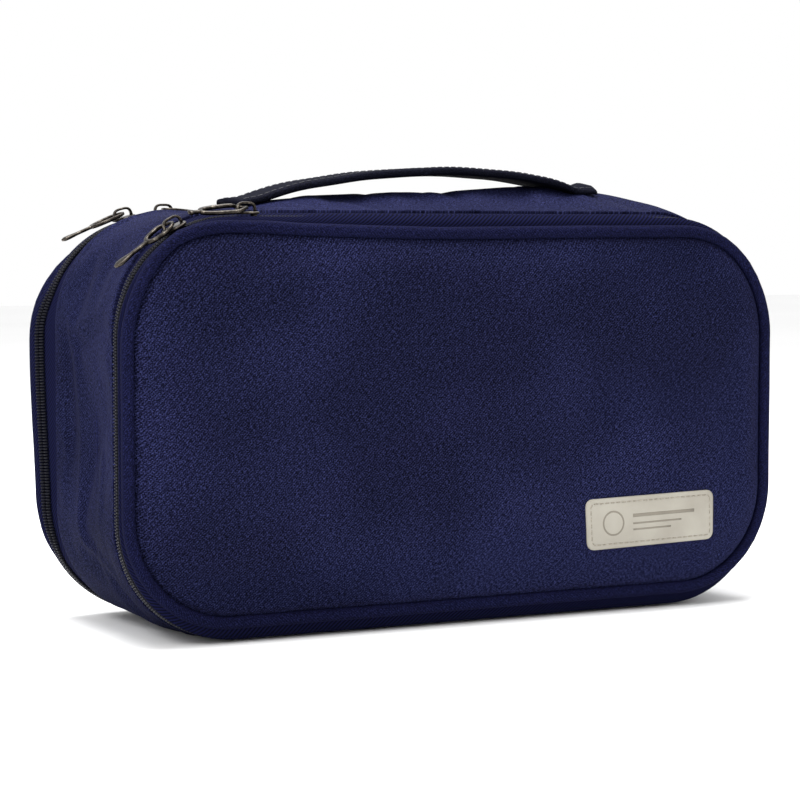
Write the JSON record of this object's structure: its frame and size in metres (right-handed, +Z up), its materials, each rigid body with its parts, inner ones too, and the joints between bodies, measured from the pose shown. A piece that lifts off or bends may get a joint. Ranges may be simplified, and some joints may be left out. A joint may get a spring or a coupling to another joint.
{
  "type": "travel document organizer bag",
  "caption": "Zip-around padded fabric travel organizer with two book-opening lids, a centre divider, a strap handle and sliders with metal pulls.",
  "frame": {"origin": "centre of the flat underside on which the bag stands", "axes": "+X along the width towards the fabric hinges, +Y from the front lid to the rear lid, +Z up"},
  "size_m": [0.2794, 0.1034, 0.1746],
  "materials": {
    "outer_fabric": "navy melange polyester twill",
    "trim_fabric": "navy polyester, matte",
    "zip_tape": "navy herringbone tape",
    "zip_teeth": "black nylon coil",
    "lining": "thin navy polyester lining",
    "mesh": "open knitted mesh",
    "foam": "closed-cell foam padding",
    "board": "plastic stiffener sheet",
    "label": "beige synthetic leather, embossed and stitched",
    "pull_metal": "antique gunmetal plated zinc"
  },
  "bodies": {
    "core": {"gusset": "outer_fabric", "gusset_foam": "foam", "gusset_lining": "lining", "divider_board": "board", "divider_front_face": "lining", "divider_rear_face": "lining", "front_slip_pocket": "lining", "rear_slip_pocket": "lining", "front_core_tape": "zip_tape", "rear_core_tape": "zip_tape", "front_core_teeth": "zip_teeth", "rear_core_teeth": "zip_teeth", "front_hinge_strip": "trim_fabric", "rear_hinge_strip": "trim_fabric", "front_seam_binding": "trim_fabric", "rear_seam_binding": "trim_fabric", "handle_end_left": "trim_fabric", "handle_end_right": "trim_fabric"},
    "front_lid": {"front_panel": "outer_fabric", "front_foam": "foam", "front_lining": "lining", "front_piping": "trim_fabric", "front_lid_tape": "zip_tape", "front_lid_teeth": "zip_teeth", "front_mesh_pocket": "mesh", "front_pocket_binding": "trim_fabric", "label_patch": "label"},
    "rear_lid": {"rear_panel": "outer_fabric", "rear_foam": "foam", "rear_lining": "lining", "rear_piping": "trim_fabric", "rear_lid_tape": "zip_tape", "rear_lid_teeth": "zip_teeth", "rear_mesh_pocket": "mesh", "rear_pocket_binding": "trim_fabric"},
    "handle": {"handle_cover": "trim_fabric", "handle_filler": "foam"},
    "front_upper_slider": {"front_upper_slider": "pull_metal"},
    "front_upper_pull": {"front_upper_pull": "pull_metal"},
    "front_lower_slider": {"front_lower_slider": "pull_metal"},
    "front_lower_pull": {"front_lower_pull": "pull_metal"},
    "rear_upper_slider": {"rear_upper_slider": "pull_metal"},
    "rear_upper_pull": {"rear_upper_pull": "pull_metal"},
    "rear_lower_slider": {"rear_lower_slider": "pull_metal"},
    "rear_lower_pull": {"rear_lower_pull": "pull_metal"}
  },
  "joints": [
    {"name": "front_lid_hinge", "type": "hinge", "parent": "core", "child": "front_lid", "pos_m": [0.14, -0.0375, 0.0778], "axis": [0, 0, 1], "range_deg": [0, 170]},
    {"name": "rear_lid_hinge", "type": "hinge", "parent": "core", "child": "rear_lid", "pos_m": [0.14, 0.0375, 0.0778], "axis": [0, 0, -1], "range_deg": [0, 170]},
    {"name": "handle_tilt", "type": "hinge", "parent": "core", "child": "handle", "pos_m": [0, 0, 0.16247], "axis": [1, 0, 0], "range_deg": [-18, 18]},
    {"name": "front_upper_slider_run", "type": "slide", "parent": "core", "child": "front_upper_slider", "axis": [1, 0, 0], "range_m": [0, 0.17]},
    {"name": "rear_upper_slider_run", "type": "slide", "parent": "core", "child": "rear_upper_slider", "axis": [1, 0, 0], "range_m": [0, 0.17]},
    {"name": "front_lower_slider_run", "type": "hinge", "parent": "core", "child": "front_lower_slider", "pos_m": [-0.0947, -0.0375, 0.1106], "axis": [0, -1, 0], "range_deg": [0, 26]},
    {"name": "rear_lower_slider_run", "type": "hinge", "parent": "core", "child": "rear_lower_slider", "pos_m": [-0.0947, 0.0375, 0.1106], "axis": [0, -1, 0], "range_deg": [0, 38]},
    {"name": "front_upper_pull_swing", "type": "hinge", "parent": "front_upper_slider", "child": "front_upper_pull", "pos_m": [-0.088, -0.0375, 0.1584], "axis": [0, 1, 0], "range_deg": [0, 170]},
    {"name": "rear_upper_pull_swing", "type": "hinge", "parent": "rear_upper_slider", "child": "rear_upper_pull", "pos_m": [-0.09, 0.0375, 0.1584], "axis": [0, -1, 0], "range_deg": [0, 170]},
    {"name": "front_lower_pull_swing", "type": "hinge", "parent": "front_lower_slider", "child": "front_lower_pull", "pos_m": [-0.11714, -0.0375, 0.1528], "axis": [0, 1, 0], "range_deg": [0, 170]},
    {"name": "rear_lower_pull_swing", "type": "hinge", "parent": "rear_lower_slider", "child": "rear_lower_pull", "pos_m": [-0.10707, 0.0375, 0.15677], "axis": [0, 1, 0], "range_deg": [0, 170]}
  ]
}
